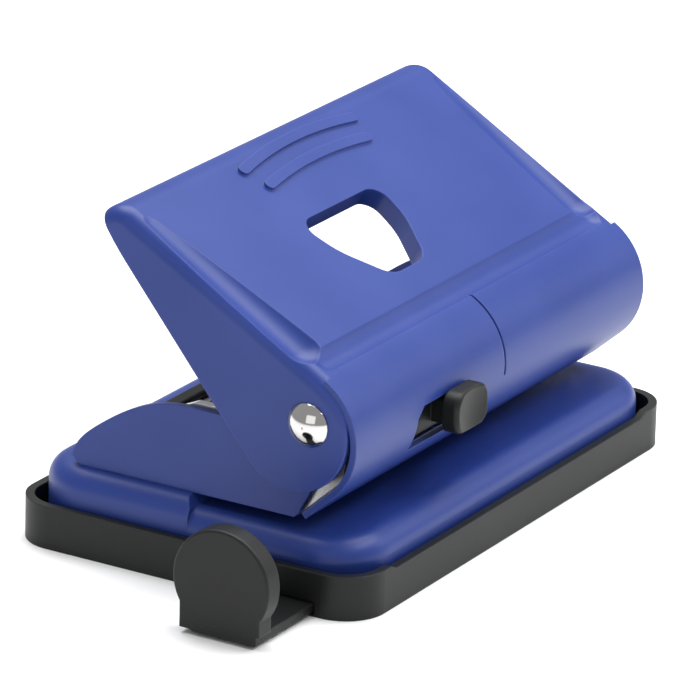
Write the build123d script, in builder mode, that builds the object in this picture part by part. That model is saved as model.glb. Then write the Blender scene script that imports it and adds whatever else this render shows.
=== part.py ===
"""Two-hole paper punch: a chip tray, a pressed base with two cheeks and a guide bridge,
a rocking handle with two punch pins, a handle lock and a sliding paper gauge.

X runs along the paper edge, -Y is the side the paper enters, +Z is up.
The origin lies on the underside of the tray, midway between the two holes.
Every moving piece stands at rest: handle up, pins up, lock open, gauge part of the way out.
"""
from build123d import *
from math import atan2, cos, degrees, radians, sin, sqrt, tan
import os

os.makedirs("parts", exist_ok=True)

# ---- Driving dimensions, millimetres and degrees ----

# Holes in the paper
hole_spacing = 80.0
pin_diameter = 5.5
hole_to_edge = 12.0

# Chip tray
tray_width = 112.0
tray_depth = 72.0
tray_height = 8.0
tray_corner = 8.0
tray_wall = 1.6
tray_floor = 1.2
rim_drop = 0.8
rim_drop_margin = 12.0

# Base pan
pan_gap = 0.5
pan_sheet = 1.0
pan_corner = 11.0
pan_bottom = 4.1
front_top = 12.8
slot_height = 1.9
stop_y = 0.2
riser_run = 1.4
pan_shoulder = 4.0

# Pivot of the handle
pivot_y = -22.3
pivot_z = 32.7
shank_diameter = 5.0
rivet_head_diameter = 8.0
rivet_dome = 2.0
rivet_tail_diameter = 7.0
rivet_tail = 1.2
washer_diameter = 9.0

# Handle
handle_half = 52.0
handle_sheet = 1.2
handle_tilt = 29.6
handle_swing = 25.0
plate_height = 8.53
handle_reach = 46.8
rear_roll = 5.0
rear_roll_end = 15.0
barrel_u = 1.86
barrel_radius = 13.0
barrel_half = 51.2
lip_length = 7.2
lip_angle = 18.5
seam_angle = 114.0
flange_u = 2.0
flange_v = -3.2
flange_radius = 10.9
flange_rise = 20.7
flange_corner_u = 43.0
fold_radius = 2.8

# Details of the handle
window_x = -5.9
window_top_u = 30.8
window_bottom_u = 13.4
window_top_half = 13.4
window_bottom_half = 5.6
window_side_half = 11.6
window_side_u = 22.5
window_top_corner = 3.2
window_side_corner = 14.0
window_bottom_corner = 5.0
window_rim = 2.6
window_rim_sheet = 0.9
groove_u = 5.2
groove_radius = 4.0
groove_depth = 0.9
groove_half_length = 46.5
valley_radius = 5.0
valley_front_x = 47.9
valley_front_u = 9.5
valley_front_depth = 2.2
valley_rear_x = 49.6
valley_rear_u = 43.5
valley_rear_depth = 0.3
rib_width = 2.2
rib_height = 0.6
rib_radius = 100.0
rib_x = 0.5
rib_spans = ((42.2, 37.5), (36.2, 33.5))
mark_width = 0.6
mark_depth = 0.4

# Lock in the barrel
lock_x = -17.5
lock_travel = 8.0
knob_width = 11.0
knob_height = 7.6
knob_thickness = 3.2
knob_corner = 2.6
knob_gap = 0.5
knob_z = 27.4
neck_width = 6.4
neck_height = 5.0
neck_gap = 0.4
lock_sheet = 1.3
lock_plate_half = 8.8
lock_plate_low = 24.0
lock_arm_half = 4.5
lock_arm_low = 35.0
lock_arm_top = 39.6
lock_arm_end = -13.7
lock_hook = 35.4
lock_hook_reach = 2.5
catch_near = -24.0
catch_far = -31.0
catch_y = -17.9
catch_top = 34.8
catch_sheet = 0.8
catch_reach = 3.0
catch_foot = 5.0
retainer_sheet = 0.6
retainer_low = 26.0
retainer_high = 33.0
retainer_margin = 2.4

# Cheeks, bridge and guide
cheek_gap = 0.5
cheek_sheet = 1.4
cheek_rear = 26.4
cheek_top = 30.1
cheek_foot = 7.0
bridge_sheet = 1.5
bridge_front = -19.0
bridge_rear = 14.0
bridge_wall_top = 25.4
bridge_nose = 6.4
guide_sheet = 1.2
guide_height = 22.0
guide_front = -18.4
guide_rear = 3.0
guide_foot = 11.0
lower_rivet_y = 7.0
rivet_pitch = 28.0
base_rivet_diameter = 4.0
base_rivet_head = 6.5
base_rivet_rise = 1.2

# Pins, springs and dies
pin_clearance = 0.05
pin_head_diameter = 9.0
pin_head = 1.5
pin_tip_gap = 0.3
pin_notch = 0.7
nose_rise = 1.5
press_sheet = 2.4
press_foot = 8.6
press_width = 6.0
press_gap = 0.1
clip_diameter = 8.4
clip_sheet = 0.8
clip_bite = 0.4
spring_wire = 0.8
spring_turns = 3.6
spring_clearance = 0.9
die_diameter = 12.0
die_boss_diameter = 8.6
die_height = 1.5
die_relief = 0.4

# Paper gauge
gauge_y = -20.15
gauge_width = 12.9
gauge_sheet = 1.8
gauge_lift = 0.6
gauge_out = 18.5
gauge_inner_end = 39.0
gauge_clearance = 0.2
stop_radius = 9.5
stop_centre_y = -19.3
stop_centre_z = 10.5
stop_thickness = 3.8
stop_foot_width = 15.8
groove_rail = 1.4
groove_lip = 1.2
groove_lip_sheet = 0.4

# Tray hinge
hinge_y = 31.0
hinge_z = 9.4
hinge_x = 43.0
hinge_pin_diameter = 2.4
hinge_clearance = 0.08
ear_sheet = 1.2
post_width = 3.0
post_depth = 3.0

# ---- Values worked out from them ----

rear_top = front_top + slot_height
pan_half = tray_width / 2 - tray_wall - pan_gap
pan_front = -(tray_depth / 2 - tray_wall - pan_gap)
pan_rear = -pan_front
riser_top_y = stop_y + riser_run
riser_angle = atan2(slot_height, riser_run)
pin_y = stop_y - hole_to_edge
pin_radius = pin_diameter / 2
pin_x = hole_spacing / 2
cheek_outer = handle_half - handle_sheet - cheek_gap
bridge_outer = cheek_outer - cheek_sheet
bridge_inner = bridge_outer - bridge_sheet
bridge_floor_top = rear_top + bridge_sheet
guide_top = guide_height + guide_sheet
head_top = pivot_z + nose_rise - press_sheet / 2 - press_gap
barrel_v = plate_height - barrel_radius
shank_radius = shank_diameter / 2
lock_slot_left = lock_x - lock_travel - neck_width / 2 - neck_gap
lock_slot_right = lock_x + neck_width / 2 + neck_gap
tilt = radians(handle_tilt)
sides = ((-1, "left"), (1, "right"))


def save(piece, name):
    """Label a finished piece and write it to its own file."""
    piece.part.label = name
    export_step(piece.part, f"parts/{name}.step")


def lever_plane(x):
    """Plane square to X through the pivot, its first axis along the handle's plate."""
    return Plane(origin=(x, pivot_y, pivot_z), x_dir=(0, cos(tilt), sin(tilt)), z_dir=(1, 0, 0))


def plate_plane(height):
    """Plane parallel to the handle's plate, the given height above the pivot."""
    origin = (0, pivot_y - height * sin(tilt), pivot_z + height * cos(tilt))
    return Plane(origin=origin, x_dir=(1, 0, 0), z_dir=(0, -sin(tilt), cos(tilt)))


def on_circle(centre, radius, angle):
    """Point of a circle at an angle in degrees."""
    return (centre[0] + radius * cos(radians(angle)), centre[1] + radius * sin(radians(angle)))


def pan_block(inset, top):
    """Flat-topped block with the pan's outline and a rounded shoulder all round."""
    with BuildPart() as block:
        with BuildSketch(Plane.XY.offset(pan_bottom)):
            RectangleRounded(
                2 * (pan_half - inset), pan_rear - pan_front - 2 * inset, pan_corner - inset
            )
        extrude(amount=top - pan_bottom - inset)
        fillet(block.edges().group_by(Axis.Z)[-1], pan_shoulder - inset)
    return block.part


def pan_form(inset):
    """Outer form of the base pan, or of its hollow when inset is the sheet's thickness."""
    shift = inset * tan(riser_angle / 2)
    with BuildPart() as raised:
        add(pan_block(inset, rear_top))
        # The front is cut away along the riser that stops the paper.
        with BuildSketch(Plane.YZ):
            with BuildLine():
                Polyline(
                    (stop_y + shift, 0),
                    (stop_y + shift, front_top - inset),
                    (riser_top_y + shift, rear_top - inset),
                    (riser_top_y + shift, 2 * rear_top),
                    (2 * pan_front, 2 * rear_top),
                    (2 * pan_front, 0),
                    close=True,
                )
            make_face()
        extrude(amount=tray_width, both=True, mode=Mode.SUBTRACT)
    with BuildPart() as form:
        add(pan_block(inset, front_top))
        add(raised.part)
    return form.part


# ---- Chip tray, with the groove of the paper gauge and the hinge posts ----

groove_half = gauge_width / 2 + gauge_clearance
groove_roof = gauge_lift + gauge_sheet + gauge_clearance
tunnel_top = pan_bottom - 0.1
post_x = hinge_x - ear_sheet / 2 - 0.2 - post_width / 2

with BuildPart() as chip_tray:
    with BuildSketch():
        RectangleRounded(tray_width, tray_depth, tray_corner)
    extrude(amount=tray_height)
    with BuildSketch(Plane.XY.offset(tray_floor)):
        RectangleRounded(tray_width - 2 * tray_wall, tray_depth - 2 * tray_wall, tray_corner - tray_wall)
    extrude(amount=tray_height, mode=Mode.SUBTRACT)
    # The front rim is a little lower between the corners.
    with BuildSketch(Plane.XZ.offset(tray_depth / 2)):
        with BuildLine():
            drop_half = tray_width / 2 - rim_drop_margin
            Polyline(
                (-drop_half - 2, tray_height),
                (-drop_half, tray_height - rim_drop),
                (drop_half, tray_height - rim_drop),
                (drop_half + 2, tray_height),
                close=True,
            )
        make_face()
    extrude(amount=-2 * tray_wall, mode=Mode.SUBTRACT)
    # Raised walls and roof of the gauge groove, open below between two lips.
    with BuildSketch(Plane.XY.offset(0)):
        with Locations((0, gauge_y)):
            Rectangle(tray_width - 2 * tray_wall, 2 * (groove_half + groove_rail))
    extrude(amount=tunnel_top)
    groove_length = tray_width - tray_wall
    with BuildSketch(Plane.XY.offset(groove_lip_sheet)):
        with Locations((-tray_wall, gauge_y)):
            Rectangle(groove_length, 2 * groove_half)
    extrude(amount=groove_roof - groove_lip_sheet, mode=Mode.SUBTRACT)
    with BuildSketch():
        with Locations((-tray_wall, gauge_y)):
            Rectangle(groove_length, 2 * (groove_half - groove_lip))
    extrude(amount=groove_roof, mode=Mode.SUBTRACT)
    # Ribs that the pan's skirt stands on.
    with BuildSketch(Plane.XY.offset(tray_floor)):
        with Locations((-pan_half + 1, 12), (pan_half - 1, 12)):
            Rectangle(3.2, 5)
    extrude(amount=tunnel_top - tray_floor)
    # Hinge posts and their pins.
    for side, _ in sides:
        with BuildSketch(Plane.XY.offset(tray_floor)):
            with Locations((side * post_x, hinge_y)):
                Rectangle(post_width, post_depth)
        extrude(amount=hinge_z - tray_floor + post_depth / 2)
        with BuildSketch(Plane.YZ.offset(side * (post_x + post_width / 2))):
            with Locations((hinge_y, hinge_z)):
                Circle(hinge_pin_diameter / 2)
        extrude(amount=side * (ear_sheet + 0.6))
save(chip_tray, "chip_tray")

# ---- Paper gauge: a flat bar in the tray's groove and an upright end stop ----

gauge_end = -(tray_width / 2 + gauge_out)
bar_top = gauge_lift + gauge_sheet

with BuildPart() as gauge_bar:
    with BuildSketch(Plane.XY.offset(gauge_lift)):
        with Locations(((gauge_end + gauge_inner_end) / 2, gauge_y)):
            Rectangle(gauge_inner_end - gauge_end, gauge_width)
    extrude(amount=gauge_sheet)
    chamfer(gauge_bar.edges().filter_by(Axis.Z).group_by(Axis.X)[-1], 1.5)
    chamfer(gauge_bar.edges().filter_by(Axis.X).group_by(Axis.Z)[0], 0.3)
save(gauge_bar, "gauge_bar")

with BuildPart() as gauge_stop:
    with BuildSketch(Plane.YZ.offset(gauge_end)):
        with Locations((stop_centre_y, stop_centre_z)):
            Circle(stop_radius)
        with BuildLine():
            foot_half = stop_foot_width / 2
            hip = stop_centre_z - sqrt(stop_radius**2 - foot_half**2)
            Polyline(
                (stop_centre_y - foot_half, bar_top),
                (stop_centre_y + foot_half, bar_top),
                (stop_centre_y + foot_half, hip),
                (stop_centre_y, stop_centre_z),
                (stop_centre_y - foot_half, hip),
                close=True,
            )
        make_face()
    extrude(amount=stop_thickness)
    # A lug beside the bar keeps the stop from turning on it.
    lug_start = gauge_y + gauge_width / 2
    with BuildSketch(Plane.YZ.offset(gauge_end)):
        with Locations(((lug_start + stop_centre_y + foot_half) / 2, bar_top)):
            Rectangle(stop_centre_y + foot_half - lug_start, 2 * (gauge_sheet - 0.4))
    extrude(amount=stop_thickness)
    fillet(gauge_stop.edges().filter_by(GeomType.CIRCLE).group_by(Axis.X)[0], 0.5)
    # The bar passes under the stop's foot.
    with BuildSketch(Plane.YZ.offset(gauge_end)):
        with Locations((gauge_y, bar_top / 2)):
            Rectangle(gauge_width, bar_top)
    extrude(amount=stop_thickness, mode=Mode.SUBTRACT)
save(gauge_stop, "gauge_stop")

# ---- Base pan, with its pin holes and hinge ears ----

pan_outer = pan_form(0)
pan_hollow = pan_form(pan_sheet)
base_rivets = [(x, lower_rivet_y) for x in (-rivet_pitch, 0, rivet_pitch)]
cheek_rivet_x = cheek_outer - cheek_sheet - bridge_sheet - 0.6 - base_rivet_head / 2
cheek_rivets_at = [(side * cheek_rivet_x, 19.2) for side, _ in sides]

with BuildPart() as base_pan:
    add(pan_outer)
    add(pan_hollow, mode=Mode.SUBTRACT)
    with BuildSketch(Plane.XY.offset(rear_top)):
        with Locations((-pin_x, pin_y), (pin_x, pin_y)):
            Circle(die_boss_diameter / 2)
    extrude(amount=-2 * slot_height - pan_sheet, mode=Mode.SUBTRACT)
    with BuildSketch(Plane.XY.offset(rear_top)):
        with Locations(*base_rivets, *cheek_rivets_at):
            Circle(base_rivet_diameter / 2)
    extrude(amount=-2 * pan_sheet, mode=Mode.SUBTRACT)
    # Notches in the rear skirt that let the hinge posts through when the tray opens.
    with BuildSketch(Plane.XY.offset(pan_bottom)):
        with Locations((-post_x, pan_rear), (post_x, pan_rear)):
            Rectangle(post_width + 0.8, 3 * pan_sheet)
    extrude(amount=hinge_z - pan_bottom, mode=Mode.SUBTRACT)
    # Ears with the hinge holes hang from the pan's roof.
    ear_top = rear_top - pan_sheet
    for side, _ in sides:
        with BuildSketch(Plane.YZ.offset(side * hinge_x - ear_sheet / 2)):
            with Locations((hinge_y - 1.0, (ear_top + hinge_z - 2.4) / 2)):
                Rectangle(5.0, ear_top - hinge_z + 2.4)
            with Locations((hinge_y, hinge_z)):
                Circle(hinge_pin_diameter / 2 + hinge_clearance, mode=Mode.SUBTRACT)
        extrude(amount=ear_sheet)
save(base_pan, "base_pan")

# ---- Cheeks: blue side plates with a foot riveted to the pan ----

for side, name in sides:
    with BuildPart() as cheek:
        with BuildSketch(Plane.YZ.offset(side * cheek_outer)):
            with BuildLine():
                rear_edge = Line((cheek_rear - 1.6, rear_top), (cheek_rear, rear_top + 1.4))
                hump = Spline(
                    rear_edge @ 1,
                    (cheek_rear - 4.0, 21.9),
                    (cheek_rear - 14.4, cheek_top - 1.8),
                    (1.2, cheek_top),
                    tangents=((-0.2, 1), (-1, 0)),
                )
                neck = Line(hump @ 1, (pivot_y + 9.0, cheek_top))
                nose = ThreePointArc(
                    neck @ 1,
                    (pivot_y, pivot_z + bridge_nose),
                    (pivot_y - bridge_nose, pivot_z),
                )
                front = Line(nose @ 1, (bridge_front - 0.8, rear_top + 0.8))
                corner = Line(front @ 1, (bridge_front, rear_top))
                Line(corner @ 1, rear_edge @ 0)
            make_face()
            with Locations((pivot_y, pivot_z)):
                Circle(shank_radius, mode=Mode.SUBTRACT)
        extrude(amount=-side * cheek_sheet)
        foot_start = bridge_rear + 0.8
        foot_inner = cheek_rivet_x - base_rivet_head / 2 - 0.4
        with BuildSketch(Plane.XY.offset(rear_top)):
            with Locations((side * (foot_inner + cheek_outer - cheek_sheet) / 2, foot_start + 4.5)):
                Rectangle(cheek_outer - cheek_sheet - foot_inner, 9.0)
            with Locations((side * cheek_rivet_x, 19.2)):
                Circle(base_rivet_diameter / 2, mode=Mode.SUBTRACT)
        extrude(amount=cheek_sheet)
    save(cheek, f"{name}_cheek")

# ---- Punch bridge: steel channel with the lower pin holes and both pivot walls ----

with BuildPart() as punch_bridge:
    with BuildSketch(Plane.XY.offset(rear_top)):
        with Locations((0, (bridge_front + bridge_rear) / 2)):
            Rectangle(2 * bridge_outer, bridge_rear - bridge_front)
        with Locations((-pin_x, pin_y), (pin_x, pin_y)):
            Circle(pin_radius + pin_clearance, mode=Mode.SUBTRACT)
        with Locations(*base_rivets):
            Circle(base_rivet_diameter / 2, mode=Mode.SUBTRACT)
    extrude(amount=bridge_sheet)
    # Rear wall with a hem folded forwards along its top.
    with BuildSketch(Plane.XZ.offset(-bridge_rear)):
        with Locations((0, (rear_top + bridge_wall_top) / 2)):
            Rectangle(2 * bridge_outer, bridge_wall_top - rear_top)
    extrude(amount=bridge_sheet)
    with BuildSketch(Plane.XY.offset(bridge_wall_top - bridge_sheet)):
        with Locations((0, bridge_rear - 2 * bridge_sheet)):
            Rectangle(2 * bridge_outer, 4 * bridge_sheet)
    extrude(amount=bridge_sheet)
    # Pivot walls.
    for side, _ in sides:
        with BuildSketch(Plane.YZ.offset(side * bridge_outer)):
            with BuildLine():
                foot = Line((bridge_rear, rear_top), (bridge_front, rear_top))
                chin = Line(foot @ 1, (pivot_y - 5.2, rear_top + 7.8))
                brow = Line(chin @ 1, (pivot_y - bridge_nose, pivot_z - 3.0))
                face = Line(brow @ 1, (pivot_y - bridge_nose, pivot_z))
                crown = ThreePointArc(
                    face @ 1,
                    on_circle((pivot_y, pivot_z), bridge_nose, 135),
                    on_circle((pivot_y, pivot_z), bridge_nose, 70),
                )
                saddle = Line(crown @ 1, (pivot_y + 16.0, cheek_top + 0.8))
                back = Line(saddle @ 1, (2.0, cheek_top + 0.6))
                slope = Line(back @ 1, (bridge_rear, bridge_wall_top))
                Line(slope @ 1, foot @ 0)
            make_face()
            with Locations((pivot_y, pivot_z)):
                Circle(shank_radius, mode=Mode.SUBTRACT)
        extrude(amount=-side * bridge_sheet)
save(punch_bridge, "punch_bridge")

with BuildPart() as bridge_buffer:
    with BuildSketch(Plane.YZ):
        with Locations((bridge_rear - 2 * bridge_sheet, bridge_wall_top + 0.7)):
            RectangleRounded(3.0, 1.4, 0.5)
    extrude(amount=bridge_inner - 1.0, both=True)
save(bridge_buffer, "bridge_buffer")

# ---- Upper guide: a bent plate that holds the pins upright ----

with BuildPart() as upper_guide:
    guide_half = bridge_inner
    with BuildSketch(Plane.YZ):
        with BuildLine():
            Polyline(
                (guide_front, bridge_floor_top),
                (guide_front, guide_top),
                (guide_rear, guide_top),
                (guide_rear, bridge_floor_top + guide_sheet),
                (guide_foot, bridge_floor_top + guide_sheet),
                (guide_foot, bridge_floor_top),
                (guide_rear - guide_sheet, bridge_floor_top),
                (guide_rear - guide_sheet, guide_height),
                (guide_front + guide_sheet, guide_height),
                (guide_front + guide_sheet, bridge_floor_top),
                close=True,
            )
        make_face()
    extrude(amount=guide_half, both=True)
    with BuildSketch(Plane.XY.offset(guide_height)):
        with Locations((-pin_x, pin_y), (pin_x, pin_y)):
            Circle(pin_radius + pin_clearance)
    extrude(amount=guide_sheet, mode=Mode.SUBTRACT)
    with BuildSketch(Plane.XY.offset(bridge_floor_top)):
        with Locations(*base_rivets):
            Circle(base_rivet_diameter / 2)
    extrude(amount=guide_sheet, mode=Mode.SUBTRACT)
save(upper_guide, "upper_guide")

# ---- Rivets of the base: one group through guide, bridge and pan, one through the cheeks' feet ----

for name, places, top in (
    ("bridge_rivets", base_rivets, bridge_floor_top + guide_sheet),
    ("cheek_rivets", cheek_rivets_at, rear_top + cheek_sheet),
):
    with BuildPart() as rivets:
        with BuildSketch(Plane.XY.offset(rear_top - pan_sheet)):
            with Locations(*places):
                Circle(base_rivet_diameter / 2)
        extrude(amount=top - rear_top + pan_sheet)
        with BuildSketch(Plane.XY.offset(top)):
            with Locations(*places):
                Circle(base_rivet_head / 2)
        extrude(amount=base_rivet_rise, taper=35)
        with BuildSketch(Plane.XY.offset(rear_top - pan_sheet)):
            with Locations(*places):
                Circle(base_rivet_head / 2)
        extrude(amount=-base_rivet_rise / 2)
    save(rivets, name)

# ---- Handle ----

barrel_centre = (barrel_u, barrel_v)
roll_centre = (handle_reach, plate_height - rear_roll)
lip_direction = 270 + lip_angle
lip_start = on_circle(barrel_centre, barrel_radius, 180 + lip_angle)
lip_end = on_circle(lip_start, lip_length, lip_direction)
flange_centre = (flange_u, flange_v)
flange_low = on_circle(flange_centre, flange_radius, flange_rise - 90)
seam_inner = on_circle(flange_centre, flange_radius, seam_angle)
flange_rear_v = flange_low[1] + (flange_corner_u - flange_low[0]) * tan(radians(flange_rise))

wall_inner = barrel_radius - handle_sheet
roll_inner = rear_roll - handle_sheet
flange_inner = handle_half - handle_sheet
void_floor = -3 * barrel_radius


def lever_point(x, u, v):
    """Point given by its side distance, its place along the plate and its height."""
    return lever_plane(x).from_local_coords((u, v, 0))


def pressed_channel(start, end, radius):
    """Round-bottomed channel between two points, with ball ends."""
    with BuildPart() as channel:
        path = Vector(end) - Vector(start)
        with BuildSketch(Plane(origin=start, z_dir=path)):
            Circle(radius)
        extrude(amount=path.length)
        with Locations(start, end):
            Sphere(radius)
    return channel.part


with BuildPart() as handle_form:
    with BuildSketch(lever_plane(0)):
        with BuildLine():
            rear = CenterArc(roll_centre, rear_roll, rear_roll_end, 90 - rear_roll_end)
            ridge = Line(rear @ 1, (barrel_u, plate_height))
            shoulder = CenterArc(barrel_centre, barrel_radius, 90, seam_angle - 90)
            seam = Line(shoulder @ 1, seam_inner)
            flange_arc = CenterArc(
                flange_centre, flange_radius, seam_angle, 270 + flange_rise - seam_angle
            )
            under = Line(flange_arc @ 1, (flange_corner_u, flange_rear_v))
            TangentArc(under @ 1, rear @ 0, tangent=under % 1)
        make_face()
    extrude(amount=handle_half, both=True)
    fold = handle_form.edges().filter_by(
        lambda edge: abs(abs(edge.center().X) - handle_half) < 0.01
        and abs(edge.length - ridge.length) < 0.01
    )
    fillet(fold, fold_radius)

with BuildPart() as plate_hollow:
    with BuildSketch(lever_plane(0)):
        with BuildLine():
            inner_rear = CenterArc(roll_centre, roll_inner, -30, 120)
            inner_ridge = Line(inner_rear @ 1, (barrel_u, plate_height - handle_sheet))
            Polyline(
                inner_ridge @ 1,
                (barrel_u, void_floor),
                ((inner_rear @ 0).X, void_floor),
                inner_rear @ 0,
            )
        make_face()
    extrude(amount=flange_inner, both=True)

with BuildPart() as barrel_hollow:
    with BuildSketch(lever_plane(0)):
        with BuildLine():
            inner_barrel = CenterArc(barrel_centre, wall_inner, 90, 90 + lip_angle)
            Polyline(
                inner_barrel @ 1,
                ((inner_barrel @ 1).X, void_floor),
                (barrel_u, void_floor),
                inner_barrel @ 0,
            )
        make_face()
    extrude(amount=flange_inner, both=True)

# Channels pressed into the plate: one along the barrel and one beside each fold.
groove_v = plate_height - groove_depth + groove_radius
channels = [
    (
        lever_point(-groove_half_length, groove_u, groove_v),
        lever_point(groove_half_length, groove_u, groove_v),
        groove_radius,
    )
]
for side, _ in sides:
    channels.append(
        (
            lever_point(
                side * valley_front_x,
                valley_front_u,
                plate_height - valley_front_depth + valley_radius,
            ),
            lever_point(
                side * valley_rear_x,
                valley_rear_u,
                plate_height - valley_rear_depth + valley_radius,
            ),
            valley_radius,
        )
    )

with BuildPart() as channel_backs:
    for start, end, radius in channels:
        add(pressed_channel(start, end, radius + handle_sheet - 0.1))
    add(handle_form.part, mode=Mode.INTERSECT)

window_plane = plate_plane(plate_height)
window_points = (
    (window_x - window_top_half, window_top_u),
    (window_x + window_top_half, window_top_u),
    (window_x + window_side_half, window_side_u),
    (window_x + window_bottom_half, window_bottom_u),
    (window_x - window_bottom_half, window_bottom_u),
    (window_x - window_side_half, window_side_u),
)

with BuildPart() as handle:
    add(handle_form.part)
    add(plate_hollow.part, mode=Mode.SUBTRACT)
    add(barrel_hollow.part, mode=Mode.SUBTRACT)
    add(channel_backs.part)
    for start, end, radius in channels:
        add(pressed_channel(start, end, radius), mode=Mode.SUBTRACT)
    # Barrel and lip, rolled on from the front of the plate.
    with BuildSketch(lever_plane(0)):
        with BuildLine():
            barrel = CenterArc(barrel_centre, barrel_radius, 90, 90 + lip_angle)
            Line(barrel @ 1, lip_end)
            offset(amount=handle_sheet, side=Side.LEFT)
        make_face()
    extrude(amount=barrel_half, both=True)
    for side, _ in sides:
        with BuildSketch(Plane.YZ.offset(side * handle_half)):
            with Locations((pivot_y, pivot_z)):
                Circle(shank_radius + pin_clearance)
        extrude(amount=-2 * side * handle_sheet, mode=Mode.SUBTRACT)
    # Finger window with a turned-down rim.
    for edge_gap, height, mode in (
        (window_rim_sheet, window_rim + handle_sheet / 2, Mode.ADD),
        (0, window_rim + 2 * handle_sheet, Mode.SUBTRACT),
    ):
        with BuildSketch(window_plane.offset(-handle_sheet - window_rim)) as opening:
            with BuildLine():
                Polyline(*window_points, close=True)
            make_face()
            fillet(opening.vertices().group_by(Axis.Y)[-1], window_top_corner)
            fillet(opening.vertices().group_by(Axis.Y)[0], window_bottom_corner)
            waist = opening.vertices().filter_by(
                lambda corner: abs(corner.Y - window_side_u) < 0.01
            )
            fillet(waist, window_side_corner)
            if edge_gap:
                offset(amount=edge_gap)
        extrude(amount=height, mode=mode)
    # Arched ribs above the window.
    for rib_u, rib_length in rib_spans:
        half_angle = degrees(rib_length / 2 / rib_radius)
        with BuildSketch(window_plane):
            with Locations((rib_x, rib_u - rib_radius)):
                SlotArc(
                    CenterArc((0, 0), rib_radius, 90 - half_angle, 2 * half_angle),
                    rib_width,
                )
        extrude(amount=rib_height)
    # Slot of the lock, and the centre mark round the barrel.
    with BuildSketch(Plane.XZ.offset(-(pivot_y + flange_u - 1))):
        with BuildLine():
            Polyline(
                (lock_slot_left - 1.5, knob_z - 4.4),
                (lock_slot_left - 1.1, knob_z + 1.6),
                (lock_slot_left + 0.9, knob_z + 3.5),
                (lock_slot_right, knob_z + 3.5),
                (lock_slot_right, knob_z - 4.4),
                close=True,
            )
        make_face()
    extrude(amount=2 * barrel_radius, mode=Mode.SUBTRACT)
    with BuildSketch(lever_plane(-mark_width / 2)):
        with BuildLine():
            outer_mark = CenterArc(barrel_centre, barrel_radius + 1, 76, 82)
            inner_mark = CenterArc(barrel_centre, barrel_radius - mark_depth, 76, 82)
            Line(outer_mark @ 0, inner_mark @ 0)
            Line(outer_mark @ 1, inner_mark @ 1)
        make_face()
    extrude(amount=mark_width, mode=Mode.SUBTRACT)
save(handle, "handle")

# ---- Press pads: folded steel brackets under the plate that push the pins ----

nose_y = pin_y - pivot_y
nose_u = nose_y * cos(tilt) + nose_rise * sin(tilt)
nose_v = nose_rise * cos(tilt) - nose_y * sin(tilt)
under_plate = plate_height - handle_sheet
press_half_sheet = press_sheet / 2

for side, name in sides:
    with BuildPart() as press_pad:
        with BuildSketch(lever_plane(side * pin_x - press_width / 2)):
            with Locations((nose_u, nose_v)):
                Circle(press_half_sheet)
            with BuildLine():
                Polyline(
                    (nose_u - press_half_sheet, nose_v),
                    (nose_u + press_half_sheet, nose_v),
                    (nose_u + press_half_sheet, under_plate - press_sheet),
                    (nose_u + press_foot, under_plate - press_sheet),
                    (nose_u + press_foot, under_plate),
                    (nose_u - press_half_sheet, under_plate),
                    close=True,
                )
            make_face()
        extrude(amount=press_width)
    save(press_pad, f"{name}_press_pad")

# ---- Pivot rivets and washers ----

for side, name in sides:
    head_start = handle_half + 0.1
    head_radius = rivet_head_diameter / 2
    ball_radius = (head_radius**2 + rivet_dome**2) / (2 * rivet_dome)
    with BuildPart() as pivot_rivet:
        with BuildSketch(Plane.XZ.offset(-pivot_y)):
            with BuildLine():
                Polyline(
                    (side * head_start, pivot_z + head_radius),
                    (side * head_start, pivot_z + shank_radius),
                    (side * bridge_inner, pivot_z + shank_radius),
                    (side * bridge_inner, pivot_z + rivet_tail_diameter / 2),
                    (side * (bridge_inner - rivet_tail), pivot_z + rivet_tail_diameter / 2 - 0.4),
                    (side * (bridge_inner - rivet_tail), pivot_z),
                    (side * (head_start + rivet_dome), pivot_z),
                )
                RadiusArc(
                    (side * (head_start + rivet_dome), pivot_z),
                    (side * head_start, pivot_z + head_radius),
                    -side * ball_radius,
                )
            make_face()
        revolve(axis=Axis((0, pivot_y, pivot_z), (1, 0, 0)))
    save(pivot_rivet, f"{name}_pivot_rivet")
    with BuildPart() as pivot_washer:
        with BuildSketch(Plane.YZ.offset(side * cheek_outer)):
            with Locations((pivot_y, pivot_z)):
                Circle(washer_diameter / 2)
                Circle(shank_radius, mode=Mode.SUBTRACT)
        extrude(amount=side * (cheek_gap - 0.1))
    save(pivot_washer, f"{name}_pivot_washer")

# ---- Punch pins with their circlips, return springs and dies ----

pin_tip = rear_top + pin_tip_gap
clip_top = guide_height - 0.1

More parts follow.
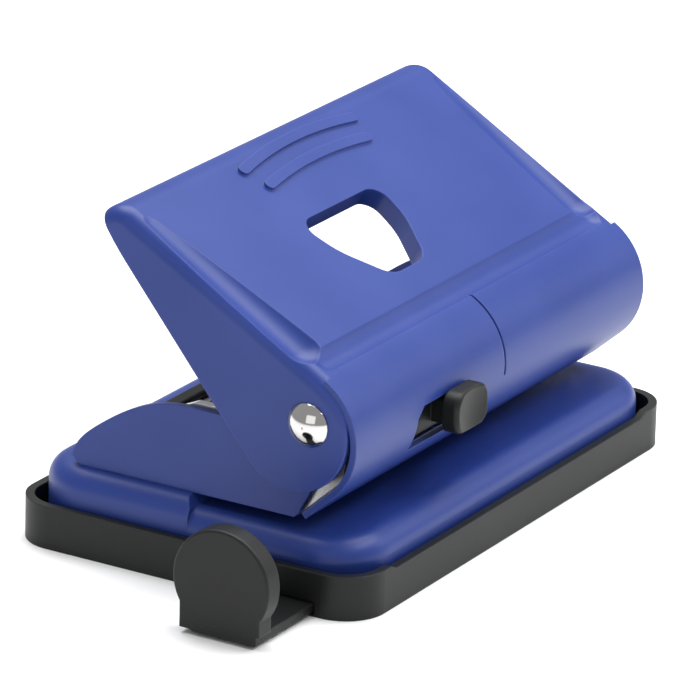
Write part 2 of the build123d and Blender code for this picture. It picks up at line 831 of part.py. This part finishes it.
for side, name in sides:
    with BuildPart() as punch_pin:
        with BuildSketch(Plane.XY.offset(pin_tip)):
            with Locations((side * pin_x, pin_y)):
                Circle(pin_radius)
        extrude(amount=head_top - pin_head - pin_tip)
        with BuildSketch(Plane.XY.offset(head_top - pin_head)):
            with Locations((side * pin_x, pin_y)):
                Circle(pin_head_diameter / 2)
        extrude(amount=pin_head)
        # The cutting end is a shallow V so that the paper parts gradually.
        with BuildSketch(Plane.XZ.offset(-pin_y)):
            with BuildLine():
                Polyline(
                    (side * pin_x - pin_radius, pin_tip),
                    (side * pin_x, pin_tip + pin_notch),
                    (side * pin_x + pin_radius, pin_tip),
                    close=True,
                )
            make_face()
        extrude(amount=pin_diameter, both=True, mode=Mode.SUBTRACT)
        with BuildSketch(Plane.XY.offset(clip_top - clip_sheet)):
            with Locations((side * pin_x, pin_y)):
                Circle(pin_diameter)
                Circle(pin_radius - clip_bite, mode=Mode.SUBTRACT)
        extrude(amount=clip_sheet, mode=Mode.SUBTRACT)
    save(punch_pin, f"{name}_punch_pin")
    with BuildPart() as pin_clip:
        with BuildSketch(Plane.XY.offset(clip_top - clip_sheet)):
            with Locations((side * pin_x, pin_y)):
                Circle(clip_diameter / 2)
                Circle(pin_radius - clip_bite, mode=Mode.SUBTRACT)
            with Locations((side * pin_x, pin_y - clip_diameter / 2)):
                Rectangle(pin_diameter - 1.2, clip_diameter, mode=Mode.SUBTRACT)
        extrude(amount=clip_sheet)
    save(pin_clip, f"{name}_pin_clip")
    spring_height = head_top - pin_head - guide_top - spring_wire - 0.1
    coil_radius = pin_radius + spring_clearance + spring_wire / 2
    with BuildPart() as return_spring:
        with BuildLine():
            coil = Helix(
                pitch=spring_height / spring_turns,
                height=spring_height,
                radius=coil_radius,
                center=(side * pin_x, pin_y, guide_top + spring_wire / 2 + 0.05),
            )
        with BuildSketch(Plane(origin=coil @ 0, z_dir=coil % 0)):
            Circle(spring_wire / 2)
        sweep(path=coil, is_frenet=True)
    save(return_spring, f"{name}_return_spring")
    with BuildPart() as die:
        with BuildSketch(Plane.XY.offset(front_top)):
            with Locations((side * pin_x, pin_y)):
                Circle(die_boss_diameter / 2)
        extrude(amount=-pan_sheet)
        with BuildSketch(Plane.XY.offset(front_top - pan_sheet)):
            with Locations((side * pin_x, pin_y)):
                Circle(die_diameter / 2)
        extrude(amount=-die_height)
        with BuildSketch(Plane.XY.offset(front_top)):
            with Locations((side * pin_x, pin_y)):
                Circle(pin_radius + pin_clearance)
        extrude(amount=-2 * die_height, mode=Mode.SUBTRACT)
    save(die, f"{name}_die")

# ---- Handle lock: slider with knob and hook, its retainer, and the catch on the guide ----

barrel_y = pivot_y + barrel_u * cos(tilt) - barrel_v * sin(tilt)
barrel_z = pivot_z + barrel_u * sin(tilt) + barrel_v * cos(tilt)
plate_front = barrel_y - sqrt(wall_inner**2 - (barrel_z - lock_plate_low) ** 2) + 0.4
plate_back = plate_front + lock_sheet
knob_back = barrel_y - barrel_radius - knob_gap

with BuildPart() as lock_slider:
    with BuildSketch(Plane.XZ.offset(-knob_back)):
        with Locations((lock_x, knob_z + 0.4)):
            RectangleRounded(knob_width, knob_height, knob_corner)
    extrude(amount=knob_thickness)
    knob_front = lock_slider.faces().filter_by(Axis.Y).sort_by(Axis.Y)[0]
    fillet(knob_front.edges(), 1.0)
    dish_radius = 16.0
    with Locations((lock_x, knob_back - knob_thickness - dish_radius + 0.8, knob_z + 0.4)):
        Sphere(dish_radius, mode=Mode.SUBTRACT)
    with BuildSketch(Plane.XZ.offset(-plate_back)):
        with Locations((lock_x, knob_z)):
            RectangleRounded(neck_width, neck_height, 0.8)
    extrude(amount=plate_back - knob_back)
    with BuildSketch(Plane.YZ.offset(lock_x - lock_plate_half)):
        with BuildLine():
            Polyline(
                (plate_front, lock_plate_low),
                (plate_front, lock_arm_low - 1),
                (plate_back, lock_arm_low - 1),
                (plate_back, lock_plate_low),
                close=True,
            )
        make_face()
    extrude(amount=2 * lock_plate_half)
    with BuildSketch(Plane.YZ.offset(lock_x - lock_arm_half)):
        with BuildLine():
            hook_rise = lock_arm_top - lock_arm_low
            Polyline(
                (plate_front, lock_arm_low - 1),
                (plate_front, lock_arm_low),
                (plate_front + hook_rise, lock_arm_top),
                (lock_arm_end, lock_arm_top),
                (lock_arm_end, lock_hook),
                (lock_arm_end - lock_hook_reach, lock_hook),
                (lock_arm_end - lock_hook_reach, lock_hook + 1.0),
                (lock_arm_end - 1.0, lock_hook + 1.0),
                (lock_arm_end - 1.0, lock_arm_top - 1.0),
                (plate_front + hook_rise + 0.5, lock_arm_top - 1.0),
                (plate_back, lock_arm_low - 0.4),
                (plate_back, lock_arm_low - 1),
                close=True,
            )
        make_face()
    extrude(amount=2 * lock_arm_half)
save(lock_slider, "lock_slider")

with BuildPart() as lock_retainer:
    retainer_left = lock_x - lock_plate_half - lock_travel - retainer_margin
    retainer_right = lock_x + lock_plate_half + retainer_margin
    retainer_y = plate_back + 0.3
    with BuildSketch(Plane.YZ.offset(retainer_left)):
        with Locations((barrel_y, barrel_z)):
            Circle(wall_inner)
        with Locations((retainer_y + retainer_sheet - 10, (retainer_low + retainer_high) / 2)):
            Rectangle(20, retainer_high - retainer_low, mode=Mode.INTERSECT)
    extrude(amount=retainer_right - retainer_left)
    with BuildSketch(Plane.XY.offset(retainer_low)):
        with Locations(((retainer_left + retainer_right) / 2, retainer_y - 10)):
            Rectangle(retainer_right - retainer_left - 2 * retainer_sheet, 20)
    extrude(amount=retainer_high - retainer_low, mode=Mode.SUBTRACT)
save(lock_retainer, "lock_retainer")

with BuildPart() as lock_catch:
    with BuildSketch(Plane.YZ.offset(catch_far)):
        with BuildLine():
            Polyline(
                (catch_y, guide_top),
                (catch_y, catch_top),
                (catch_y + catch_reach, catch_top),
                (catch_y + catch_reach, catch_top - catch_sheet),
                (catch_y + catch_sheet, catch_top - catch_sheet),
                (catch_y + catch_sheet, guide_top + catch_sheet),
                (catch_y + catch_foot, guide_top + catch_sheet),
                (catch_y + catch_foot, guide_top),
                close=True,
            )
        make_face()
    extrude(amount=catch_near - catch_far)
save(lock_catch, "lock_catch")
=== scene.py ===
"""Finish and set out a two-hole paper punch: enamel, moulded plastic, bright steel and chrome."""

from math import radians

import bpy
from mathutils import Matrix, Vector


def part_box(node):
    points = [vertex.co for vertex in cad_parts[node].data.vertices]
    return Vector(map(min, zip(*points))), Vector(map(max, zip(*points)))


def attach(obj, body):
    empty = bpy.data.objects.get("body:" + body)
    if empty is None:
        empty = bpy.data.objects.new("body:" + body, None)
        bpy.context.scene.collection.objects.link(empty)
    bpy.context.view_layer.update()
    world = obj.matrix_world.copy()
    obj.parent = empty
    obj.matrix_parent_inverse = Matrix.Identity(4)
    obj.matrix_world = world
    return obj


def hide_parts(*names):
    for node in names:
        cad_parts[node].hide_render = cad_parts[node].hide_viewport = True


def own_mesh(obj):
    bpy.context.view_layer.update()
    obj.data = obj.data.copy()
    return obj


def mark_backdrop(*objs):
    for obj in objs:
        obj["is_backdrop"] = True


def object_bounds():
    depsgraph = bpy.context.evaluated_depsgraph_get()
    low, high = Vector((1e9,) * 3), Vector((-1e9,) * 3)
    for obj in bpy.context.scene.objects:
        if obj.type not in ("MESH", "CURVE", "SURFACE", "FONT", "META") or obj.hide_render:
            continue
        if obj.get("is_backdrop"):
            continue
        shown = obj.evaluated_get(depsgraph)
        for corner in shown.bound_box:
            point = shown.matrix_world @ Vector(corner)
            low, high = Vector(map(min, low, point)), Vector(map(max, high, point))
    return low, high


bl_info = {
    "name": "Hole Punch",
    "version": (1, 0, 0),
    "blender": (4, 5, 0),
    "location": "View3D > Sidebar > Hole Punch",
    "description": "Finishes a two-hole paper punch and sets it on a pale table",
    "category": "Object",
}

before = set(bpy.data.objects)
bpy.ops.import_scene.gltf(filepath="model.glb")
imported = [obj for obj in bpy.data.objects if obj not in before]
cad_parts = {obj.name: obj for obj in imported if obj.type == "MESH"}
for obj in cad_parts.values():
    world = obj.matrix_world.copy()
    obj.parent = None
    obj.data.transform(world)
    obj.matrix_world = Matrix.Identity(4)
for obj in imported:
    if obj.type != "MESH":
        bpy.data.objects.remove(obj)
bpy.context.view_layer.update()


# ---------------------------------------------------------------- settings


class PaintSettings(bpy.types.PropertyGroup):
    """Colours of the enamelled steel, with a lighter blue for painted highlights on edges and
    folds.
    """

    colour: bpy.props.FloatVectorProperty(
        name="Enamel", description="Colour of the baked enamel", subtype="COLOR", size=3,
        min=0, max=1, default=(0.012, 0.034, 0.2),
    )
    # painted highlight: a lighter blue put along edges and folds in place of their sheen, also used
    # a little for random cloudy tone
    highlight_and_tone_colour: bpy.props.FloatVectorProperty(
        name="Highlight and tone", description="Lighter blue painted along edges and folds as a highlight, and in random clouds", subtype="COLOR",
        size=3, min=0, max=1, default=(0.04, 0.07, 0.3),
    )
    roughness: bpy.props.FloatProperty(
        name="Roughness", description="Roughness of the enamel", default=0.4, min=0, max=1,
    )
    grain: bpy.props.FloatProperty(
        name="Orange peel", description="Height of the enamel's fine ripple", unit="LENGTH",
        default=0.000012,
    )


class PlasticSettings(bpy.types.PropertyGroup):
    """Colour and grain of the moulded pieces."""

    colour: bpy.props.FloatVectorProperty(
        name="Plastic", description="Colour of the moulded plastic", subtype="COLOR", size=3,
        min=0, max=1, default=(0.0075, 0.0083, 0.0078),
    )
    roughness: bpy.props.FloatProperty(
        name="Roughness", description="Roughness of the plastic", default=0.46, min=0, max=1,
    )
    grain: bpy.props.FloatProperty(
        name="Grain", description="Height of the moulded grain", unit="LENGTH", default=0.00002,
    )


class SteelSettings(bpy.types.PropertyGroup):
    """Colours of the bare metals."""

    zinc: bpy.props.FloatVectorProperty(
        name="Zinc plate", description="Colour of the plated sheet", subtype="COLOR", size=3,
        min=0, max=1, default=(0.62, 0.62, 0.63),
    )
    chrome: bpy.props.FloatVectorProperty(
        name="Chrome", description="Colour of the polished rivets", subtype="COLOR", size=3,
        min=0, max=1, default=(0.8, 0.79, 0.77),
    )
    tool: bpy.props.FloatVectorProperty(
        name="Tool steel", description="Colour of pins and dies", subtype="COLOR", size=3,
        min=0, max=1, default=(0.4, 0.4, 0.41),
    )


class SpringSettings(bpy.types.PropertyGroup):
    """Sizes of the two return springs."""

    wire: bpy.props.FloatProperty(
        name="Wire", description="Diameter of the spring wire", unit="LENGTH", default=0.0008,
    )
    coil: bpy.props.FloatProperty(
        name="Coil radius", description="Axis of the coil to the middle of the wire",
        unit="LENGTH", default=0.00405,
    )
    turns: bpy.props.IntProperty(name="Turns", description="Whole turns of wire", default=4)
    kept: bpy.props.FloatProperty(
        name="Pressed length", description="Share of its length left when pressed",
        default=0.43, min=0.1, max=1,
    )


class StageSettings(bpy.types.PropertyGroup):
    """Table, lamps and camera."""

    floor: bpy.props.FloatVectorProperty(
        name="Table", description="Colour of the table", subtype="COLOR", size=3, min=0, max=1,
        default=(0.93, 0.93, 0.935),
    )
    distance: bpy.props.FloatProperty(
        name="Camera distance", description="Camera to aim point", unit="LENGTH", default=1.1127,
    )
    azimuth: bpy.props.FloatProperty(
        name="Azimuth", description="Camera's direction round the punch", unit="ROTATION",
        default=radians(-59.6486),
    )
    elevation: bpy.props.FloatProperty(
        name="Elevation", description="Camera's height angle", unit="ROTATION",
        default=radians(19.8902),
    )
    roll: bpy.props.FloatProperty(
        name="Roll", description="Tilt of the camera about its own axis", unit="ROTATION",
        default=radians(1.6058),
    )
    focal: bpy.props.FloatProperty(
        name="Focal length", description="Focal length in millimetres for a 36 mm frame",
        default=314.76,
    )
    key: bpy.props.FloatProperty(
        name="Key lamp", description="Power of the large overhead lamp in watts", default=18.0,
    )


GROUPS = {
    "punch_paint": PaintSettings,
    "punch_plastic": PlasticSettings,
    "punch_steel": SteelSettings,
    "punch_spring": SpringSettings,
    "punch_stage": StageSettings,
}

FINE_BEVEL = 6
COARSE_BEVEL = 4
WIRE_SIDES = 12
COIL_STEPS = 28
MERGE_GAP = 1e-7
TABLE_SIZE = 12
LAMP_AIM = (0.016, 0.01, 0.025)
FRONT_SHARE = 0.13
LEFT_SHARE = 0.05
STRIP_SHARE = 0.22
SKY_STRENGTH = 0.42
CAMERA_AIM = (0.01623, 0.00978, 0.01931)
SENSOR_WIDTH = 36.0
VIEW_DEPTH = 20


# ---------------------------------------------------------------- shader arithmetic


class Signal:
    """A shader socket that can be added, multiplied and compared like a number."""

    def __init__(self, tree, socket):
        self.tree = tree
        self.socket = socket

    def node(self, kind, settings=None, inputs=None, output=0):
        """Add any node, set it up, feed it and return one of its outputs."""
        made = self.tree.nodes.new(kind)
        for key, value in (settings or {}).items():
            setattr(made, key, value)
        for key, value in (inputs or {}).items():
            if isinstance(value, Signal):
                self.tree.links.new(value.socket, made.inputs[key])
            else:
                made.inputs[key].default_value = value
        return Signal(self.tree, made.outputs[output])

    def math(self, operation, *values):
        """One Math node over the given values."""
        return self.node("ShaderNodeMath", {"operation": operation}, dict(enumerate(values)))

    def __add__(self, other):
        return self.math("ADD", self, other)

    def __radd__(self, other):
        return self.math("ADD", other, self)

    def __sub__(self, other):
        return self.math("SUBTRACT", self, other)

    def __rsub__(self, other):
        return self.math("SUBTRACT", other, self)

    def __mul__(self, other):
        return self.math("MULTIPLY", self, other)

    def __rmul__(self, other):
        return self.math("MULTIPLY", other, self)

    def __truediv__(self, other):
        return self.math("DIVIDE", self, other)

    def noise(self, scale, detail=3.0, roughness=0.5):
        """Noise over this vector, from 0 to 1."""
        inputs = {"Vector": self, "Scale": scale, "Detail": detail, "Roughness": roughness}
        return self.node("ShaderNodeTexNoise", inputs=inputs)

    def scaled(self, x, y, z):
        """This vector with each direction scaled."""
        return self.node("ShaderNodeVectorMath", {"operation": "MULTIPLY"}, {0: self, 1: (x, y, z)})

    def ramp(self, low, high):
        """0 below low, 1 above high and smooth between."""
        inputs = {"Value": self, "From Min": low, "From Max": high}
        return self.node("ShaderNodeMapRange", {"interpolation_type": "SMOOTHSTEP"}, inputs)

    def blend(self, first, second):
        """Colour going from first to second as this goes from 0 to 1."""
        first, second = [
            colour if isinstance(colour, Signal) else (*colour, 1) for colour in (first, second)
        ]
        inputs = {"Factor": self, 6: first, 7: second}
        return self.node("ShaderNodeMix", {"data_type": "RGBA"}, inputs, 2)


def new_material(name):
    """An empty node material: its shader, its position signal and itself."""
    material = bpy.data.materials.new(name)
    material.use_nodes = True
    tree = material.node_tree
    shader = tree.nodes["Principled BSDF"]
    place = Signal(tree, None).node("ShaderNodeTexCoord", output="Object")
    return material, shader, place


def connect(shader, key, signal):
    """Feed one of the shader's sockets."""
    signal.tree.links.new(signal.socket, shader.inputs[key])


def rounded(place, radius, samples=FINE_BEVEL):
    """Normal that rounds edges off by the radius."""
    return place.node("ShaderNodeBevel", {"samples": samples}, {"Radius": radius})


def edges(place, radius):
    """1 along edges and folds, 0 on open faces."""
    bevel = rounded(place, radius)
    flat = place.node("ShaderNodeNewGeometry", output="Normal")
    dot = place.node(
        "ShaderNodeVectorMath", {"operation": "DOT_PRODUCT"}, {0: bevel, 1: flat}, "Value"
    )
    return (1 - dot).ramp(0.01, 0.12)


def bump(place, height, distance, base):
    """Normal that follows the given height, over the edges that base rounds."""
    inputs = {"Height": height, "Distance": distance, "Strength": 1.0, "Normal": base}
    return place.node("ShaderNodeBump", inputs=inputs)


def enamel(context):
    """Baked enamel over drawn steel."""
    settings = context.scene.punch_paint
    material, shader, place = new_material("blue_enamel")
    edge = edges(place, 0.0006)
    ripple = place.noise(900, 2)
    speck = place.noise(5200, 1)
    cloud = place.noise(38, 3)
    # painted highlight: edges and folds are blended 0.7 towards the lighter blue; random cloud tone
    # adds up to 0.25
    highlight_and_tone = cloud.ramp(0.3, 0.7) * 0.25 + edge * 0.7
    connect(shader, "Base Color", highlight_and_tone.blend(tuple(settings.colour), tuple(settings.highlight_and_tone_colour)))
    connect(shader, "Roughness", settings.roughness + (cloud - 0.5) * 0.08 + speck * 0.05)
    corner = rounded(place, 0.0004)
    connect(shader, "Normal", bump(place, ripple + speck * 0.5, settings.grain, corner))
    shader.inputs["Coat Weight"].default_value = 0.08
    shader.inputs["Coat Roughness"].default_value = 0.3
    shader.inputs["Specular IOR Level"].default_value = 0.32
    shader.inputs["IOR"].default_value = 1.5
    return material


def moulded(context, name, lift=0.0):
    """Satin plastic with a fine moulded grain and painted highlights along its edges."""
    settings = context.scene.punch_plastic
    material, shader, place = new_material(name)
    edge = edges(place, 0.0005)
    grain = place.noise(3400, 2)
    cloud = place.noise(60, 3)
    base = tuple(channel + lift for channel in settings.colour)
    # painted highlight: edges and rims are blended towards a colour 2.2 times lighter, with a
    # little random cloud tone
    light = tuple(channel * 2.2 + 0.006 for channel in base)
    highlight_and_tone = edge * 0.75 + cloud.ramp(0.35, 0.75) * 0.12
    connect(shader, "Base Color", highlight_and_tone.blend(base, light))
    connect(shader, "Roughness", settings.roughness + (cloud - 0.5) * 0.1 - edge * 0.08)
    corner = rounded(place, 0.00035)
    connect(shader, "Normal", bump(place, grain, settings.grain, corner))
    shader.inputs["IOR"].default_value = 1.49
    shader.inputs["Specular IOR Level"].default_value = 0.28
    return material


def plated(context, name, colour, roughness, brushed, grain=0.000004):
    """Bare metal, brushed along X when brushed is above 0."""
    material, shader, place = new_material(name)
    along = place.scaled(60, 2600, 2600)
    line = along.noise(1.0, 3)
    cloud = place.noise(90, 4)
    dark = tuple(channel * 0.72 for channel in colour)
    mix = line * brushed + cloud * (0.6 - 0.3 * brushed)
    connect(shader, "Base Color", mix.ramp(0.1, 0.9).blend(dark, tuple(colour)))
    connect(shader, "Roughness", roughness + line * 0.12 * brushed + (cloud - 0.5) * 0.06)
    corner = rounded(place, 0.0002, COARSE_BEVEL)
    connect(shader, "Normal", bump(place, line * brushed + cloud * 0.2, grain, corner))
    shader.inputs["Metallic"].default_value = 1.0
    return material


def finish_nodes(names, material):
    """Give CAD pieces a material in place of their plain one."""
    for name in names:
        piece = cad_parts[name]
        if not piece.material_slots:
            piece.data.materials.append(material)
        for slot in piece.material_slots:
            slot.material = material


# ---------------------------------------------------------------- operators


class PUNCH_OT_enamelled_steel(bpy.types.Operator):
    """Enamel the handle, base pan and cheeks"""

    bl_idname = "punch.enamelled_steel"
    bl_label = "Enamelled Steel"

    def execute(self, context):
        finish_nodes(("handle", "base_pan", "left_cheek", "right_cheek"), enamel(context))
        return {"FINISHED"}


class PUNCH_OT_moulded_pieces(bpy.types.Operator):
    """Give tray, gauge and lock slider their moulded plastic"""

    bl_idname = "punch.moulded_pieces"
    bl_label = "Moulded Pieces"

    def execute(self, context):
        finish_nodes(("chip_tray", "gauge_bar", "gauge_stop"), moulded(context, "black_plastic"))
        finish_nodes(("lock_slider",), moulded(context, "slider_plastic", -0.003))
        return {"FINISHED"}


class PUNCH_OT_bright_sheet(bpy.types.Operator):
    """Plate the bridge, guide, press pads and small sheet pieces"""

    bl_idname = "punch.bright_sheet"
    bl_label = "Bright Sheet"

    def execute(self, context):
        zinc = tuple(context.scene.punch_steel.zinc)
        sheet = plated(context, "zinc_plate", zinc, 0.26, 0.8)
        names = (
            "punch_bridge", "upper_guide", "left_press_pad", "right_press_pad",
            "lock_retainer", "lock_catch", "bridge_rivets", "cheek_rivets",
            "left_pivot_washer", "right_pivot_washer", "left_pin_clip", "right_pin_clip",
        )
        finish_nodes(names, sheet)
        return {"FINISHED"}


class PUNCH_OT_pivot_rivets(bpy.types.Operator):
    """Chrome the domed pivot rivets"""

    bl_idname = "punch.pivot_rivets"
    bl_label = "Pivot Rivets"

    def execute(self, context):
        chrome = tuple(context.scene.punch_steel.chrome)
        names = ("left_pivot_rivet", "right_pivot_rivet")
        finish_nodes(names, plated(context, "chrome", chrome, 0.09, 0.0, 0.000003))
        return {"FINISHED"}


class PUNCH_OT_cutting_steel(bpy.types.Operator):
    """Grind pins and dies"""

    bl_idname = "punch.cutting_steel"
    bl_label = "Cutting Steel"

    def execute(self, context):
        tool = tuple(context.scene.punch_steel.tool)
        ground = plated(context, "tool_steel", tool, 0.3, 0.5)
        finish_nodes(("left_punch_pin", "right_punch_pin", "left_die", "right_die"), ground)
        return {"FINISHED"}


class PUNCH_OT_return_springs(bpy.types.Operator):
    """Wind the two coil springs under the pins' heads"""

    bl_idname = "punch.return_springs"
    bl_label = "Return Springs"

    def execute(self, context):
        settings = context.scene.punch_spring
        tool = tuple(context.scene.punch_steel.tool)
        wire_steel = plated(context, "spring_wire", tool, 0.24, 0.3)
        for name in ("left", "right"):
            self.wind(context, settings, name, wire_steel)
        return {"FINISHED"}

    def wind(self, context, settings, name, wire_steel):
        """One spring: a ring of wire swept up round its pin."""
        low, high = [Vector(corner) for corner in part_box(f"{name}_return_spring")]
        middle = (low + high) / 2
        half_wire = settings.wire / 2
        bpy.ops.object.select_all(action="DESELECT")
        bpy.ops.mesh.primitive_circle_add(
            vertices=WIRE_SIDES,
            radius=half_wire,
            location=(middle.x + settings.coil, middle.y, low.z + half_wire),
            rotation=(radians(90), 0, 0),
        )
        spring = context.object
        spring.name = f"{name}_spring_coil"
        bpy.ops.object.transform_apply(location=True, rotation=True, scale=True)
        context.scene.cursor.location = (middle.x, middle.y, low.z)
        bpy.ops.object.origin_set(type="ORIGIN_CURSOR")
        screw = spring.modifiers.new("wind", "SCREW")
        screw.axis = "Z"
        screw.steps = COIL_STEPS
        screw.render_steps = COIL_STEPS
        screw.iterations = settings.turns
        screw.screw_offset = (high.z - low.z - settings.wire) / settings.turns
        screw.use_merge_vertices = False
        bpy.ops.object.modifier_apply(modifier=screw.name)
        bpy.ops.object.transform_apply(location=True, rotation=True, scale=True)
        bpy.ops.object.mode_set(mode="EDIT")
        bpy.ops.mesh.select_all(action="SELECT")
        bpy.ops.mesh.remove_doubles(threshold=MERGE_GAP)
        bpy.ops.mesh.select_non_manifold()
        bpy.ops.mesh.edge_face_add()
        bpy.ops.mesh.select_all(action="SELECT")
        bpy.ops.mesh.normals_make_consistent(inside=False)
        bpy.ops.object.mode_set(mode="OBJECT")
        bpy.ops.object.shade_smooth()
        context.scene.cursor.location = (0, 0, 0)
        spring.data.materials.append(wire_steel)
        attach(spring, "base")
        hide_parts(f"{name}_return_spring")
        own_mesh(spring)


class PUNCH_OT_buffer_strip(bpy.types.Operator):
    """Give the bridge's strip its black rubber"""

    bl_idname = "punch.buffer_strip"
    bl_label = "Buffer Strip"

    def execute(self, context):
        material = moulded(context, "black_rubber", -0.003)
        finish_nodes(("bridge_buffer",), material)
        return {"FINISHED"}


def area_lamp(name, place, size, power):
    """A soft rectangular lamp aimed at the punch."""
    bpy.ops.object.light_add(type="AREA", location=place)
    lamp = bpy.context.object
    lamp.name = name
    lamp.data.shape = "RECTANGLE"
    lamp.data.size, lamp.data.size_y = size
    lamp.data.energy = power
    direction = Vector(LAMP_AIM) - Vector(place)
    lamp.rotation_mode = "QUATERNION"
    lamp.rotation_quaternion = direction.to_track_quat("-Z", "Y")
    return lamp


class PUNCH_OT_stage(bpy.types.Operator):
    """Add the pale table, the lamps and the camera"""

    bl_idname = "punch.stage"
    bl_label = "Stage"

    def execute(self, context):
        settings = context.scene.punch_stage
        bpy.ops.object.select_all(action="DESELECT")
        bpy.ops.mesh.primitive_plane_add(size=TABLE_SIZE, location=(0, 0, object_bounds()[0][2]))
        floor = context.object
        floor.name = "table"
        material, shader, place = new_material("table")
        cloud = place.noise(2.0, 2)
        light = tuple(settings.floor)
        connect(shader, "Base Color", cloud.blend(light, tuple(c * 0.99 for c in light)))
        shader.inputs["Roughness"].default_value = 0.7
        floor.data.materials.append(material)
        key = settings.key
        lamps = [
            area_lamp("overhead", (0.25, 0.15, 1.0), (1.1, 0.9), key),
            area_lamp("front_right", (0.75, -0.75, 0.55), (0.7, 0.6), key * FRONT_SHARE),
            area_lamp("left", (-0.9, -0.1, 0.35), (0.6, 0.5), key * LEFT_SHARE),
            area_lamp("strip", (0.2, -0.55, 0.75), (0.9, 0.12), key * STRIP_SHARE),
        ]
        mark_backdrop(floor, *lamps)
        world = context.scene.world or bpy.data.worlds.new("sky")
        context.scene.world = world
        world.use_nodes = True
        background = world.node_tree.nodes["Background"]
        background.inputs["Color"].default_value = (1, 1, 1, 1)
        background.inputs["Strength"].default_value = SKY_STRENGTH
        context.scene.view_settings.view_transform = "Standard"
        self.add_camera(context, settings)
        return {"FINISHED"}

    def add_camera(self, context, settings):
        """Camera by its direction angles, roll and distance."""
        turn = Matrix.Rotation(settings.azimuth, 3, "Z")
        tilt = Matrix.Rotation(radians(90) - settings.elevation, 3, "X")
        spin = Matrix.Rotation(settings.roll, 3, "Z")
        facing = turn @ tilt @ spin
        bpy.ops.object.camera_add()
        camera = context.object
        place = Vector(CAMERA_AIM) + facing.col[2] * settings.distance
        camera.matrix_world = Matrix.Translation(place) @ facing.to_4x4()
        camera.data.sensor_width = SENSOR_WIDTH
        camera.data.lens = settings.focal
        camera.data.clip_end = VIEW_DEPTH
        context.scene.camera = camera


class PUNCH_PT_panel(bpy.types.Panel):
    """Steps and settings of the hole punch"""

    bl_label = "Hole Punch"
    bl_idname = "PUNCH_PT_panel"
    bl_space_type = "VIEW_3D"
    bl_region_type = "UI"
    bl_category = "Hole Punch"

    def draw(self, context):
        for operator in OPERATORS:
            self.layout.operator(operator.bl_idname)
        for name, group in GROUPS.items():
            box = self.layout.box()
            for key in group.__annotations__:
                box.prop(getattr(context.scene, name), key)


OPERATORS = (
    PUNCH_OT_enamelled_steel,
    PUNCH_OT_moulded_pieces,
    PUNCH_OT_bright_sheet,
    PUNCH_OT_pivot_rivets,
    PUNCH_OT_cutting_steel,
    PUNCH_OT_return_springs,
    PUNCH_OT_buffer_strip,
    PUNCH_OT_stage,
)


def register():
    """Register settings, operators and panel."""
    for name, group in GROUPS.items():
        bpy.utils.register_class(group)
        setattr(bpy.types.Scene, name, bpy.props.PointerProperty(type=group))
    for operator in OPERATORS:
        bpy.utils.register_class(operator)
    bpy.utils.register_class(PUNCH_PT_panel)


def unregister():
    """Take away what register added."""
    bpy.utils.unregister_class(PUNCH_PT_panel)
    for operator in reversed(OPERATORS):
        bpy.utils.unregister_class(operator)
    for name, group in reversed(GROUPS.items()):
        delattr(bpy.types.Scene, name)
        bpy.utils.unregister_class(group)


def main():
    """Register everything and run each step in order."""
    register()
    bpy.ops.object.select_all(action="DESELECT")
    for operator in OPERATORS:
        group, name = operator.bl_idname.split(".")
        getattr(getattr(bpy.ops, group), name)()


if __name__ == "__main__":
    main()
